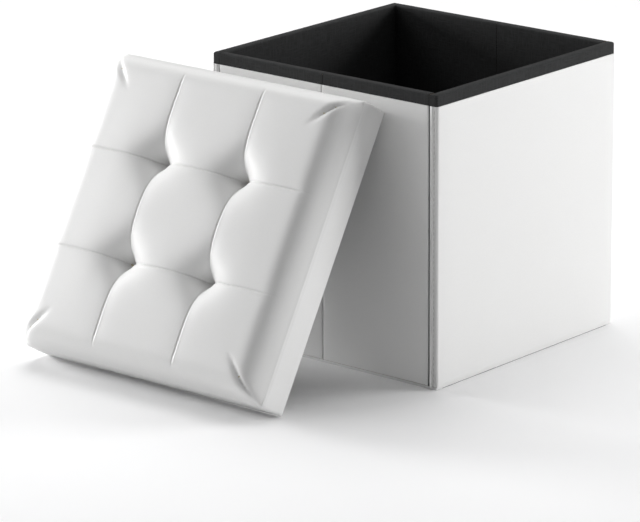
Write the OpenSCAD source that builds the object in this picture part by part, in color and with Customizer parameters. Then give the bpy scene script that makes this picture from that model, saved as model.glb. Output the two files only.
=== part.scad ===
// Folding storage ottoman: a cube of padded-leather boards, open at the top,
// with its tufted lid off and leaning against the left side.
// Origin: middle of the footprint, on the floor. +Z is up, -Y is the front wall,
// +Y the back wall, -X and +X the two sides that fold inwards at their middles.

/* [Box] */
// Outside width of the box, from one folding side to the other
box_w = 352; // [300:1:440]
// Outside depth of the box, from the front wall to the back wall
box_d = 352; // [300:1:440]
// Height of the rim above the floor
rim_h = 361; // [280:1:450]
// Height of the lining that shows outside, below the rim
band_h = 14; // [10:0.5:20]

/* [Walls] */
// Thickness of the wall boards
board_t = 10; // [7:0.5:14]
// Thickness of the leather with its thin backing
leather_t = 2; // [1.2:0.1:3]
// Thickness of the non-woven lining
lining_t = 0.8; // [0.4:0.1:1.2]
// Radius of the eased upright corners of the front and back boards
board_r = 2.5; // [1:0.1:2.7]
// Gap at every fold between two boards
fold_gap = 0.6; // [0.4:0.1:1.2]
// Gap between the base and the walls that stand over it
base_gap = 0.3; // [0.2:0.1:1]

/* [Base] */
// Thickness of the base board
base_board_t = 2.2; // [1.6:0.1:5]
// Thickness of the sheet under the base board and round its edges
base_cover_t = 0.6; // [0.5:0.1:1.2]
// Thickness of the cloth on top of the base board
base_lining_t = 0.5; // [0.3:0.1:1.2]
// Gap between that cloth and the lining of the walls
base_lining_gap = 0.5; // [0.4:0.1:2]
// How far the base stays back from the outside of the walls
base_inset = 0.8; // [0.5:0.1:6]
// Width of the cloth strip that hinges the base to the front wall
hinge_tape_w = 30; // [15:1:60]
// Thickness of that strip
hinge_tape_t = 0.4; // [0.2:0.1:0.4]

/* [Stitching] */
// Distance from one stitch to the next
stitch_pitch = 7; // [5:0.5:12]
// Length of one stitch
stitch_len = 4.6; // [2:0.1:4.8]
// Thickness of the thread
stitch_d = 0.5; // [0.3:0.1:0.6]
// Width of the groove that the stitches lie in
stitch_groove_w = 1.2; // [0.8:0.1:1.2]
// Depth of that groove
stitch_groove_d = 0.6; // [0.6:0.1:0.9]

/* [Lid] */
// How far the lid stands out past the box on each side
lid_overhang = 14; // [13:0.5:20]
// Height of the lid's side, from its lower edge to the seam
lid_side_h = 42; // [34:1:60]
// Height of the crown of the quilted top above the seam
lid_crown_h = 30; // [6:0.5:34]
// Depth of the tray under the lid that drops over the rim
lid_tray_h = 13.6; // [9:0.1:19]
// Thickness of the lid board
lid_board_t = 8; // [5:0.5:12]
// Width of the strips that form the lid's skirt
lid_strip_w = 10; // [6:0.5:10]
// Thickness of the leather on the lid
lid_leather_t = 1.2; // [0.8:0.1:2]
// Squares of the quilted top along each side
lid_squares = 3; // [2:1:5]

/* [Tufts] */
// Thickness of the tufting twine
twine_d = 1.6; // [1:0.1:2.5]
// Clearance round the twine in the foam and the lining
twine_clear = 0.2; // [0.1:0.1:0.5]
// Hole for the twine in the lid board
twine_hole_d = 4; // [3.2:0.1:8]
// Diameter of the knot on each twine, under the lid
knot_d = 6; // [4:0.5:8]
// Gap between the swing knot and the lid's lining
knot_gap = 0.3; // [0.2:0.1:0.6]

/* [Staples] */
// Staples along each side of the lid's lining
staples_per_side = 5; // [3:1:9]
// Width of a staple
staple_w = 10; // [8:0.5:14]
// Length of a staple's legs, from the lining's face into the board
staple_leg = 5; // [3:0.5:5.5]
// Thickness of the staple wire
staple_wire = 0.6; // [0.4:0.1:0.9]
// Distance from the skirt to the row of staples
staple_inset = 9; // [6:0.5:20]

/* [Leaning lid] */
// Angle between the leaning lid and the floor
lean_angle = 60; // [50:0.5:75]
// How far the leaning lid sits behind the middle of the box
lean_offset = 92; // [0:1:120]
// Gap where the leaning lid meets the wall
lean_gap = 0.4; // [0.3:0.1:1]
// Gap between the leaning lid and the floor
floor_gap = 0.3; // [0.2:0.1:1]

/* [Hidden] */
$fn = 48;
white = [0.93, 0.93, 0.92];
black = [0.13, 0.13, 0.14];
mdf = [0.72, 0.58, 0.42];
foam_yellow = [0.93, 0.89, 0.72];
steel = [0.7, 0.7, 0.72];
thread_white = [0.86, 0.86, 0.85];

wall_t = leather_t + board_t + lining_t;       // thickness of a finished wall
leather_top = rim_h - band_h;                  // where the leather stops below the rim
base_h = base_cover_t + base_board_t + base_lining_t;
wall_z = base_h + base_gap;                    // lower edge of every wall
leaf_len = box_d / 2 - wall_t - 1.5 * fold_gap; // one half of a folding side

lid_w = box_w + 2 * lid_overhang;
lid_d = box_d + 2 * lid_overhang;
skirt_t = lid_leather_t + lid_strip_w + lining_t;
tray_w = lid_w - 2 * skirt_t;                  // opening of the tray under the lid
tray_d = lid_d - 2 * skirt_t;
inner_w = lid_w - 2 * lid_leather_t;           // inside the lid's leather
inner_d = lid_d - 2 * lid_leather_t;
lid_board_z = lid_tray_h + lining_t;
foam_z = lid_board_z + lid_board_t;
cell_w = lid_w / lid_squares;
cell_d = lid_d / lid_squares;
crown_edge_h = lid_crown_h / 3;                // height of the padded top at its edges
crown_slope_w = 1.5 * lid_crown_h;             // width of the slope from the edges to the crown
// Height where the leaning lid meets the box: its own upper edge, or the rim if that is lower
lean_h = min(lid_w * sin(lean_angle), rim_h - floor_gap);
swing_tuft = [0, 0];                           // the tuft whose knot the lid turns about
tufts = [for (i = [1 : lid_squares - 1], j = [1 : lid_squares - 1]) [i - 1, j - 1]];

// A block from one corner to the other
module block(low, high) {
    translate(low) cube(high - low);
}

// A block centred on the Z axis, from z0 to z1
module slab(w, d, z0, z1) {
    block([-w / 2, -d / 2, z0], [w / 2, d / 2, z1]);
}

// ---- Walls -------------------------------------------------------------
// A wall lies along X from 0 to its length, with its outside at y = 0.

// A block whose two upright edges on the outside of the wall are rounded
module eased_block(low, high, r) {
    block([low.x, low.y + r, low.z], high);
    block([low.x + r, low.y, low.z], [high.x - r, high.y, high.z]);
    for (x = [low.x + r, high.x - r])
        translate([x, low.y + r, low.z]) cylinder(r = r, h = high.z - low.z);
}

module leaf_board() {
    block([0, leather_t, wall_z], [leaf_len, leather_t + board_t, rim_h - lining_t]);
}

module rigid_board() {
    eased_block([leather_t, leather_t, wall_z],
        [box_w - leather_t, leather_t + board_t, rim_h - lining_t], board_r);
}

// Lining of a leaf: inside face, over the rim, and the band that shows outside
module leaf_lining() {
    difference() {
        block([0, leather_t - lining_t, leather_top], [leaf_len, wall_t, rim_h]);
        block([-1, leather_t, leather_top - 1], [leaf_len + 1, wall_t - lining_t, rim_h - lining_t]);
    }
    block([0, wall_t - lining_t, wall_z], [leaf_len, wall_t, leather_top]);
}

// Lining of a rigid wall: the same, and round both ends of the board
module rigid_lining() {
    lap = leather_t - lining_t;
    difference() {
        eased_block([lap, lap, leather_top], [box_w - lap, wall_t, rim_h], board_r + lining_t);
        eased_block([leather_t, leather_t, leather_top - 1],
            [box_w - leather_t, leather_t + board_t, rim_h - lining_t], board_r);
    }
    block([leather_t, wall_t - lining_t, wall_z], [box_w - leather_t, wall_t, leather_top]);
}

// Leather of a rigid wall: outside face and both ends, each end with a stitch groove
module rigid_cover() {
    difference() {
        eased_block([0, 0, wall_z], [box_w, wall_t, leather_top], board_r + leather_t);
        eased_block([leather_t, leather_t, wall_z - 1],
            [box_w - leather_t, wall_t + 1, leather_top + 1], board_r);
        for (x = [-1, box_w - stitch_groove_d])
            block([x, (wall_t - stitch_groove_w) / 2, wall_z - 1],
                [x + 1 + stitch_groove_d, (wall_t + stitch_groove_w) / 2, leather_top + 1]);
    }
}

// Two rows of stitches, lying in the grooves of a rigid wall's ends
module end_stitches() {
    rows = floor((leather_top - wall_z - stitch_pitch) / stitch_pitch);
    first = wall_z + (leather_top - wall_z - (rows - 1) * stitch_pitch - stitch_len) / 2;
    inset = stitch_groove_d - stitch_d / 2;
    for (x = [inset, box_w - inset], i = [0 : rows - 1])
        translate([x, wall_t / 2, first + i * stitch_pitch])
            cylinder(d = stitch_d, h = stitch_len, $fn = 24);
}

module leaf_cover() {
    block([0, 0, wall_z], [leaf_len, leather_t, leather_top]);
}

module on_front() translate([-box_w / 2, -box_d / 2, 0]) children();
module on_back() rotate([0, 0, 180]) on_front() children();

// Places of the four leaves; each one's local X runs along the side it belongs to
module on_left_front() translate([-box_w / 2, -fold_gap / 2, 0]) rotate([0, 0, -90]) children();
module on_left_back()
    translate([-box_w / 2, fold_gap / 2 + leaf_len, 0]) rotate([0, 0, -90]) children();
module on_right_front() rotate([0, 0, 180]) on_left_back() children();
module on_right_back() rotate([0, 0, 180]) on_left_front() children();

module front_wall_board() color(mdf) on_front() rigid_board();
module front_wall_cover() color(white) on_front() rigid_cover();
module front_wall_lining() color(black) on_front() rigid_lining();
module front_wall_stitches() color(thread_white) on_front() end_stitches();
module back_wall_board() color(mdf) on_back() rigid_board();
module back_wall_cover() color(white) on_back() rigid_cover();
module back_wall_lining() color(black) on_back() rigid_lining();
module back_wall_stitches() color(thread_white) on_back() end_stitches();

module left_front_leaf_board() color(mdf) on_left_front() leaf_board();
module left_front_leaf_cover() color(white) on_left_front() leaf_cover();
module left_front_leaf_lining() color(black) on_left_front() leaf_lining();
module left_back_leaf_board() color(mdf) on_left_back() leaf_board();
module left_back_leaf_cover() color(white) on_left_back() leaf_cover();
module left_back_leaf_lining() color(black) on_left_back() leaf_lining();
module right_front_leaf_board() color(mdf) on_right_front() leaf_board();
module right_front_leaf_cover() color(white) on_right_front() leaf_cover();
module right_front_leaf_lining() color(black) on_right_front() leaf_lining();
module right_back_leaf_board() color(mdf) on_right_back() leaf_board();
module right_back_leaf_cover() color(white) on_right_back() leaf_cover();
module right_back_leaf_lining() color(black) on_right_back() leaf_lining();

// ---- Base --------------------------------------------------------------

base_w = box_w - 2 * base_inset;
base_d = box_d - 2 * base_inset;

module base_board() color(mdf)
    slab(base_w - 2 * base_cover_t, base_d - 2 * base_cover_t,
        base_cover_t, base_cover_t + base_board_t);

// The cloth strip runs along the front edge, let into the sheet below the board
module tape_shape(extra) {
    block([-box_w / 2 + wall_t, -base_d / 2 - extra, -extra],
        [box_w / 2 - wall_t, -base_d / 2 + hinge_tape_w, hinge_tape_t]);
}

module base_cover() color(white) difference() {
    slab(base_w, base_d, 0, base_h);
    slab(base_w - 2 * base_cover_t, base_d - 2 * base_cover_t, base_cover_t, base_h + 1);
    tape_shape(1);
}

// The cloth on top reaches just short of the walls
module base_lining() color(black)
    slab(box_w - 2 * (wall_t + base_lining_gap), box_d - 2 * (wall_t + base_lining_gap),
        base_h - base_lining_t, base_h);

module base_hinge_tape() color(black) tape_shape(0);

// ---- Lid ---------------------------------------------------------------
// Drawn flat, centred, with its lower edge at z = 0, then leant on the left side.

module lean() {
    translate([-box_w / 2 - lean_gap - lean_h / tan(lean_angle), lean_offset, floor_gap])
        rotate([0, -lean_angle, 0]) translate([lid_w / 2, 0, 0]) children();
}

// Middle of one tuft on the lid
function tuft_at(t) = [(t.x + 1) * cell_w - lid_w / 2, (t.y + 1) * cell_d - lid_d / 2, 0];

module at_tufts() for (t = tufts) translate(tuft_at(t)) children();

// The padded top's plain shape: straight sides, then a slope up to the crown
module crown(drop, w, d, z0) {
    hull() {
        slab(w, d, z0, lid_side_h + crown_edge_h - drop);
        slab(lid_w - 2 * crown_slope_w, lid_d - 2 * crown_slope_w, z0, lid_side_h + lid_crown_h - drop);
    }
}

module lid_board() color(mdf) lean() difference() {
    slab(inner_w, inner_d, lid_board_z, foam_z);
    at_tufts() translate([0, 0, lid_board_z - 1]) cylinder(d = twine_hole_d, h = lid_board_t + 2);
    staples_at() staple();
}

module lid_foam() color(foam_yellow) lean() difference() {
    crown(lid_leather_t, inner_w, inner_d, foam_z);
    at_tufts() translate([0, 0, foam_z - 1])
        cylinder(d = twine_d + 2 * twine_clear, h = lid_side_h + lid_crown_h);
}

module lid_cover() color(white) lean() difference() {
    crown(0, lid_w, lid_d, lid_side_h);
    crown(lid_leather_t, inner_w, inner_d, foam_z);
}

// Side band, with its hem turned in under the strips
module lid_border() color(white) lean() difference() {
    slab(lid_w, lid_d, 0, lid_side_h);
    slab(inner_w, inner_d, lid_leather_t, lid_side_h + 1);
    slab(tray_w + 2 * lining_t, tray_d + 2 * lining_t, -1, lid_side_h);
}

module lid_lining() color(black) lean() difference() {
    slab(tray_w + 2 * lining_t, tray_d + 2 * lining_t, 0, lid_board_z);
    slab(tray_w, tray_d, -1, lid_tray_h);
    at_tufts() translate([0, 0, lid_tray_h - 1])
        cylinder(d = twine_d + 2 * twine_clear, h = lining_t + 2);
    staples_at() staple();
}

// One strip of the skirt along X; the two along X run full length, the others between them
module strip(len) {
    block([-len / 2, -lid_strip_w, lid_leather_t], [len / 2, 0, lid_board_z]);
}

module lid_front_strip() color(mdf) lean() rotate([0, 0, 180]) translate([0, inner_d / 2, 0]) strip(inner_w);
module lid_back_strip() color(mdf) lean() translate([0, inner_d / 2, 0]) strip(inner_w);
module lid_left_strip() color(mdf) lean() rotate([0, 0, 90]) translate([0, inner_w / 2, 0])
    strip(inner_d - 2 * lid_strip_w);
module lid_right_strip() color(mdf) lean() rotate([0, 0, -90]) translate([0, inner_w / 2, 0])
    strip(inner_d - 2 * lid_strip_w);

module lid_tuft_threads() color(thread_white) lean() at_tufts()
    translate([0, 0, lid_tray_h]) cylinder(d = twine_d, h = lid_side_h - lid_leather_t - lid_tray_h);

module knot(gap) {
    translate([0, 0, lid_tray_h - gap - knot_d / 2]) sphere(d = knot_d);
}

module lid_tuft_knots() color(thread_white) lean()
    for (t = tufts) if (t != swing_tuft) translate(tuft_at(t)) knot(0);

module lid_swing_knot() color(thread_white) lean() translate(tuft_at(swing_tuft)) knot(knot_gap);

// ---- Staples -----------------------------------------------------------
// They hold the lining to the lid board, in a row along each side of the tray,
// driven in until they lie flush with the lining.

module staple() {
    translate([-staple_w / 2, -staple_wire / 2, lid_tray_h]) difference() {
        cube([staple_w, staple_wire, staple_leg]);
        translate([staple_wire, -1, staple_wire])
            cube([staple_w - 2 * staple_wire, staple_wire + 2, staple_leg]);
    }
}

module staple_row(run, out) {
    for (i = [0 : staples_per_side - 1])
        translate([(i - (staples_per_side - 1) / 2) * run / staples_per_side, out, 0]) children();
}

module staples_at() {
    for (side = [0, 180]) {
        rotate([0, 0, side]) staple_row(tray_w, tray_d / 2 - staple_inset) children();
        rotate([0, 0, side + 90]) staple_row(tray_d, tray_w / 2 - staple_inset) children();
    }
}

module lid_staples() color(steel) lean() staples_at() staple();

base_board();
base_cover();
base_lining();
base_hinge_tape();
front_wall_board();
front_wall_cover();
front_wall_lining();
front_wall_stitches();
back_wall_board();
back_wall_cover();
back_wall_lining();
back_wall_stitches();
left_front_leaf_board();
left_front_leaf_cover();
left_front_leaf_lining();
left_back_leaf_board();
left_back_leaf_cover();
left_back_leaf_lining();
right_front_leaf_board();
right_front_leaf_cover();
right_front_leaf_lining();
right_back_leaf_board();
right_back_leaf_cover();
right_back_leaf_lining();
lid_board();
lid_foam();
lid_cover();
lid_border();
lid_lining();
lid_front_strip();
lid_back_strip();
lid_left_strip();
lid_right_strip();
lid_tuft_threads();
lid_tuft_knots();
lid_swing_knot();
lid_staples();
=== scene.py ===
"""Folding storage ottoman: padded leather walls, felt lining, and the tufted lid that leans on it.

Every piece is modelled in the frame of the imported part, in metres. Walls and the lid are drawn in
their own flat position first and then put in place.
"""

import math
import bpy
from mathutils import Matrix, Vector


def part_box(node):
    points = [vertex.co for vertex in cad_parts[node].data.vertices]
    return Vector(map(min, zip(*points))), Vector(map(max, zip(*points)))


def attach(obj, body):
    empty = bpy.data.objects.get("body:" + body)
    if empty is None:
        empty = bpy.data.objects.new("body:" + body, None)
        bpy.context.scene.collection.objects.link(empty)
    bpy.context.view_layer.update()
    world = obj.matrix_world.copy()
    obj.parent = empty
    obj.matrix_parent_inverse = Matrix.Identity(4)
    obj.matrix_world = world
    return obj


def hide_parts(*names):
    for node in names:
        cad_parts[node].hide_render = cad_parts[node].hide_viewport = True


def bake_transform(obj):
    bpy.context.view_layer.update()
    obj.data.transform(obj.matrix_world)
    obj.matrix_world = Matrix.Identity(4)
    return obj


bl_info = {
    "name": "Folding Storage Ottoman",
    "version": (1, 0, 0),
    "blender": (4, 5, 0),
    "location": "3D View > Sidebar > Ottoman",
    "description": "Models the leather, felt and padding of a folding storage ottoman",
    "category": "Object",
}

import bpy
import numpy as np
from mathutils import Matrix, Vector

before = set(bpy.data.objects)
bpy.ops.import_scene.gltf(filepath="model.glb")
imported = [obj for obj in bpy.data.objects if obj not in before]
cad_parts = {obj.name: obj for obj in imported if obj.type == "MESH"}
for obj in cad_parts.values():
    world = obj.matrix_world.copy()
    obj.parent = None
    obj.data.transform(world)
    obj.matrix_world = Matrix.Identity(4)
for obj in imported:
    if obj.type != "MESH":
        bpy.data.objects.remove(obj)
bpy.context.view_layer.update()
MM = 0.001

# ---- Sizes that come from the frame ------------------------------------------------

WALL_LOW, WALL_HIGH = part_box("front_wall_cover")
RIM_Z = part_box("front_wall_lining")[1].z
WALL_Z, LEATHER_TOP = WALL_LOW.z, WALL_HIGH.z
BOX_W = WALL_HIGH.x - WALL_LOW.x
WALL_T = WALL_HIGH.y - WALL_LOW.y
LEAF_LOW, LEAF_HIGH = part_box("left_front_leaf_cover")
LEAF_LEN = LEAF_HIGH.y - LEAF_LOW.y
LEATHER_T = LEAF_HIGH.x - LEAF_LOW.x
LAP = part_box("front_wall_lining")[0].y - WALL_LOW.y
FELT_T = RIM_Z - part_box("front_wall_board")[1].z
BOARD_R = 2.5 * MM
FOLD_GAP = 0.6 * MM

LEAN = math.radians(60)
LID_LOW, LID_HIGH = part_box("lid_border")
LID_W = LID_HIGH.y - LID_LOW.y
LID_SIDE = (LID_HIGH.x - LID_LOW.x - LID_W * math.cos(LEAN)) / math.sin(LEAN)
SKIRT_T = 12 * MM
TRAY_W = LID_W - 2 * SKIRT_T
TRAY_H = 13.6 * MM
LID_BOARD_T = 8 * MM
FOAM_Z = TRAY_H + 0.8 * MM + LID_BOARD_T
CELL = LID_W / 3
TUFTS = [(a * CELL / 2, b * CELL / 2) for a in (-1, 1) for b in (-1, 1)]
ON_LID = (
    Matrix.Translation(
        (LID_HIGH.x - LID_W * math.cos(LEAN), (LID_LOW.y + LID_HIGH.y) / 2, LID_LOW.z)
    )
    @ Matrix.Rotation(-LEAN, 4, "Y")
    @ Matrix.Translation((LID_W / 2, 0, 0))
)


def wall_place(turn, x, y):
    """Matrix that puts a wall drawn along X, outside at y = 0, in its place."""
    return Matrix.Translation((x, y, 0)) @ Matrix.Rotation(math.radians(turn), 4, "Z")


HALF_W = BOX_W / 2
RIGID = {
    "front_wall": wall_place(0, -HALF_W, -HALF_W),
    "back_wall": wall_place(180, HALF_W, HALF_W),
}
LEAVES = {
    "left_front_leaf": wall_place(-90, -HALF_W, LEAF_HIGH.y),
    "left_back_leaf": wall_place(-90, -HALF_W, -LEAF_LOW.y),
    "right_front_leaf": wall_place(90, HALF_W, LEAF_LOW.y),
    "right_back_leaf": wall_place(90, HALF_W, -LEAF_HIGH.y),
}


# ---- Settings ----------------------------------------------------------------------


def mm_setting(name, description, low, high, default):
    """A distance that the panel shows, given in millimetres."""
    return bpy.props.FloatProperty(
        name=name,
        description=description,
        subtype="DISTANCE",
        min=low * MM,
        max=high * MM,
        default=default * MM,
    )


def power_setting(name, description, default):
    """The power of a light, in watts."""
    return bpy.props.FloatProperty(
        name=name, description=description, subtype="POWER", min=0, max=2000, default=default
    )


class OttomanLeather(bpy.types.PropertyGroup):
    """Finish of the white leather."""

    colour: bpy.props.FloatVectorProperty(
        name="Leather Colour",
        description="Colour of the clean leather",
        subtype="COLOR",
        size=3,
        min=0,
        max=1,
        default=(0.83, 0.83, 0.825),
    )
    roughness: bpy.props.FloatProperty(
        name="Roughness",
        description="How dull the leather is",
        min=0.1,
        max=1,
        default=0.42,
    )
    grain: mm_setting("Grain Size", "Distance across one pebble of the grain", 0.3, 4, 1.1)
    padding: mm_setting("Wall Padding", "How far the leather of a wall swells in its middle", 0, 3, 0.5)


class OttomanFelt(bpy.types.PropertyGroup):
    """Finish of the black lining."""

    colour: bpy.props.FloatVectorProperty(
        name="Felt Colour",
        description="Colour of the lining",
        subtype="COLOR",
        size=3,
        min=0,
        max=1,
        default=(0.026, 0.0265, 0.027),
    )
    rim_radius: mm_setting("Rim Radius", "Radius of the lining where it turns over the rim", 0.5, 2.7, 2.6)


class OttomanLid(bpy.types.PropertyGroup):
    """Shape of the quilted lid."""

    crown: mm_setting("Crown", "Height of the padded top above the seam", 5, 40, 31)
    tuft_depth: mm_setting("Tuft Depth", "How far the four tufts are pulled in", 0, 40, 33)
    shoulder: mm_setting("Shoulder", "Width of the slope between the seam and the crown", 15, 60, 37)
    corner_radius: mm_setting("Corner Radius", "Radius of the lid's upright corners", 1, 4, 3.8)


class OttomanStage(bpy.types.PropertyGroup):
    """Light and floor."""

    left_light: power_setting("Left Light", "Power of the soft light on the lid's side", 20)
    right_light: power_setting("Right Light", "Power of the soft light on the front wall's side", 86)
    top_light: power_setting("Top Light", "Power of the soft light overhead", 73)
    back_light: power_setting("Back Light", "Power of the light that comes in low from behind the lid", 62)
    floor_light: power_setting("Floor Light", "Power of the light on the floor behind the box", 30)
    low_light: power_setting("Low Light", "Power of the faint light from the front, near the floor", 0.4)
    surround: bpy.props.FloatProperty(
        name="Surround",
        description="Strength of the even light from all round",
        min=0,
        max=5,
        default=0.06,
    )


def settings(group):
    """The settings of one part of the ottoman."""
    return getattr(bpy.context.scene, "ottoman_" + group)


# ---- Modelling by hand: selection and short steps ----------------------------------


def leave_edit():
    """Back to object mode with nothing selected."""
    if bpy.context.object and bpy.context.object.mode != "OBJECT":
        bpy.ops.object.mode_set(mode="OBJECT")
    bpy.ops.object.select_all(action="DESELECT")


def only(piece):
    """Select this piece alone and make it active."""
    leave_edit()
    piece.select_set(True)
    bpy.context.view_layer.objects.active = piece


def named(name):
    """Name the new piece and settle its place in its mesh."""
    piece = bpy.context.object
    piece.name = name
    piece.data.name = name
    bpy.ops.object.transform_apply(location=True, rotation=True, scale=True)
    return piece


def new_block(name, low, high):
    """A cube primitive stretched from one corner to the other."""
    leave_edit()
    low, high = Vector(low), Vector(high)
    bpy.ops.mesh.primitive_cube_add(size=1, location=(low + high) / 2)
    bpy.context.object.scale = high - low
    return named(name)


def new_upright_grid(name, low, high, columns, rows):
    """A grid in the XZ plane whose faces look towards -Y; low and high are opposite corners."""
    leave_edit()
    low, high = Vector(low), Vector(high)
    bpy.ops.mesh.primitive_grid_add(
        x_subdivisions=columns,
        y_subdivisions=rows,
        size=1,
        location=(low + high) / 2,
        rotation=(math.pi / 2, 0, 0),
    )
    bpy.context.object.scale = (high.x - low.x, high.z - low.z, 1)
    return named(name)


def pick(piece, kind, test):
    """Select the faces, edges or vertices whose middle and direction pass the test."""
    only(piece)
    mesh = piece.data
    for flags in (mesh.polygons, mesh.edges, mesh.vertices):
        flags.foreach_set("select", np.zeros(len(flags), bool))
    if kind == "FACE":
        for f in mesh.polygons:
            f.select = bool(test(f.center, f.normal))
    elif kind == "EDGE":
        for e in mesh.edges:
            a, b = (mesh.vertices[i].co for i in e.vertices)
            e.select = bool(test((a + b) / 2, (b - a).normalized()))
    else:
        for v in mesh.vertices:
            v.select = bool(test(v.co, v.normal))
    bpy.ops.object.mode_set(mode="EDIT")
    bpy.ops.mesh.select_mode(type=kind)


def pick_all(piece, kind):
    """Select every face, edge or vertex of a piece."""
    pick(piece, kind, lambda co, way: True)


def cut(piece, axis, place):
    """Cut through the whole piece with a plane across one axis."""
    at, way = [0, 0, 0], [0, 0, 0]
    at[axis], way[axis] = place, 1
    pick_all(piece, "FACE")
    bpy.ops.mesh.bisect(plane_co=at, plane_no=way)
    leave_edit()


def bevel(piece, test, radius, segments):
    """Round the edges that pass the test."""
    pick(piece, "EDGE", test)
    bpy.ops.mesh.bevel(offset=radius, segments=segments, profile=0.5, affect="EDGES")
    leave_edit()


def remove_faces(piece, test):
    pick(piece, "FACE", test)
    bpy.ops.mesh.delete(type="ONLY_FACE")
    leave_edit()


def draw_edge_along(piece, test, steps):
    """Extrude the edges that pass the test through a row of short steps."""
    pick(piece, "EDGE", test)
    for step in steps:
        bpy.ops.mesh.extrude_edges_move(TRANSFORM_OT_translate={"value": tuple(step)})
    leave_edit()


def use_modifier(piece, kind, **values):
    """Add a modifier with these values and apply it."""
    only(piece)
    modifier = piece.modifiers.new(kind.title(), kind)
    for key, value in values.items():
        setattr(modifier, key, value)
    bpy.ops.object.modifier_apply(modifier=modifier.name)


def thicken(piece, thickness):
    """Give a sheet its thickness behind its faces."""
    use_modifier(piece, "SOLIDIFY", thickness=thickness, offset=-1, use_even_offset=True)


def move_points(piece, rule):
    """Sculpt: the rule takes and returns the points as an array."""
    mesh = piece.data
    points = np.zeros(len(mesh.vertices) * 3, np.float32)
    mesh.vertices.foreach_get("co", points)
    points = np.asarray(rule(points.reshape(-1, 3).astype(float)), np.float32)
    mesh.vertices.foreach_set("co", points.ravel())
    mesh.update()


def outward(piece):
    """Merge doubles and turn all faces outwards."""
    pick_all(piece, "VERT")
    bpy.ops.mesh.remove_doubles(threshold=0.01 * MM)
    bpy.ops.mesh.normals_make_consistent(inside=False)
    leave_edit()


def smooth(piece, angle=35):
    only(piece)
    bpy.ops.object.shade_smooth_by_angle(angle=math.radians(angle))
    leave_edit()


def join(name, pieces):
    """Join finished copies into one piece."""
    leave_edit()
    for p in pieces:
        p.select_set(True)
    bpy.context.view_layer.objects.active = pieces[0]
    bpy.ops.object.join()
    pieces[0].name = pieces[0].data.name = name
    leave_edit()
    return pieces[0]


def copy_of(piece, place):
    """A copy with its own mesh, moved by a matrix."""
    twin = piece.copy()
    twin.data = piece.data.copy()
    bpy.context.scene.collection.objects.link(twin)
    twin.data.transform(place)
    return twin


def put(piece, place, body, finish, *nodes):
    """Put a finished piece in its place, on its body, with its material."""
    piece.data.transform(place)
    if place.to_3x3().determinant() < 0:
        piece.data.flip_normals()
    piece.data.materials.clear()
    piece.data.materials.append(material(finish))
    if body:
        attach(piece, body)
    if nodes:
        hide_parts(*nodes)
    return piece


def ramp(t):
    """Smooth step from 0 to 1."""
    t = np.clip(t, 0, 1)
    return t * t * (3 - 2 * t)


def waves(a, b, seed, size):
    """Gentle uneven swell over a surface, between -1 and 1, from a few crossed waves."""
    rng = np.random.default_rng(seed)
    total = np.zeros_like(a)
    for _ in range(7):
        turn, phase = rng.uniform(0, math.tau, 2)
        stretch = rng.uniform(0.6, 1.8)
        total += np.sin(
            (a * math.cos(turn) + b * math.sin(turn)) * math.tau / (size * stretch) + phase
        )
    return total / 7


# ---- Shader groups -----------------------------------------------------------------


def shader_group(name, inputs, outputs):
    """A node group with named sockets; gives the tree, its input node and its output node."""
    tree = bpy.data.node_groups.new(name, "ShaderNodeTree")
    for label, kind, value in inputs:
        socket = tree.interface.new_socket(name=label, in_out="INPUT", socket_type=kind)
        if value is not None:
            socket.default_value = value
    for label, kind in outputs:
        tree.interface.new_socket(name=label, in_out="OUTPUT", socket_type=kind)
    start = tree.nodes.new("NodeGroupInput")
    end = tree.nodes.new("NodeGroupOutput")
    start.location, end.location = (-900, 0), (700, 0)
    return tree, start, end


def add(tree, kind, x=0, y=0, **values):
    """A node with its settings; values whose names are sockets set those sockets."""
    node = tree.nodes.new(kind)
    node.location = (x, y)
    for key, value in values.items():
        socket = node.inputs.get(key.replace("_", " ").title())
        if hasattr(node, key) and key not in ("color", "location", "width", "height", "inputs"):
            setattr(node, key, value)
        elif socket is not None:
            socket.default_value = value
        else:
            raise ValueError(f"{kind} has no {key}")
    return node


def maths(tree, operation, a, b, x=0, y=0, clamp=False):
    node = tree.nodes.new("ShaderNodeMath")
    node.operation, node.location, node.use_clamp = operation, (x, y), clamp
    for socket, value in zip(node.inputs, (a, b)):
        if isinstance(value, (int, float)):
            socket.default_value = value
        else:
            tree.links.new(value, socket)
    return node.outputs[0]


def mix_colour(tree, factor, a, b, x=0, y=0, blend="MIX"):
    node = tree.nodes.new("ShaderNodeMix")
    node.data_type, node.blend_type, node.location = "RGBA", blend, (x, y)
    for index, value in ((0, factor), (6, a), (7, b)):
        if isinstance(value, (int, float)):
            node.inputs[index].default_value = value
        elif isinstance(value, (tuple, list)):
            node.inputs[index].default_value = (*value[:3], 1)
        else:
            tree.links.new(value, node.inputs[index])
    return node.outputs[2]


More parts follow.
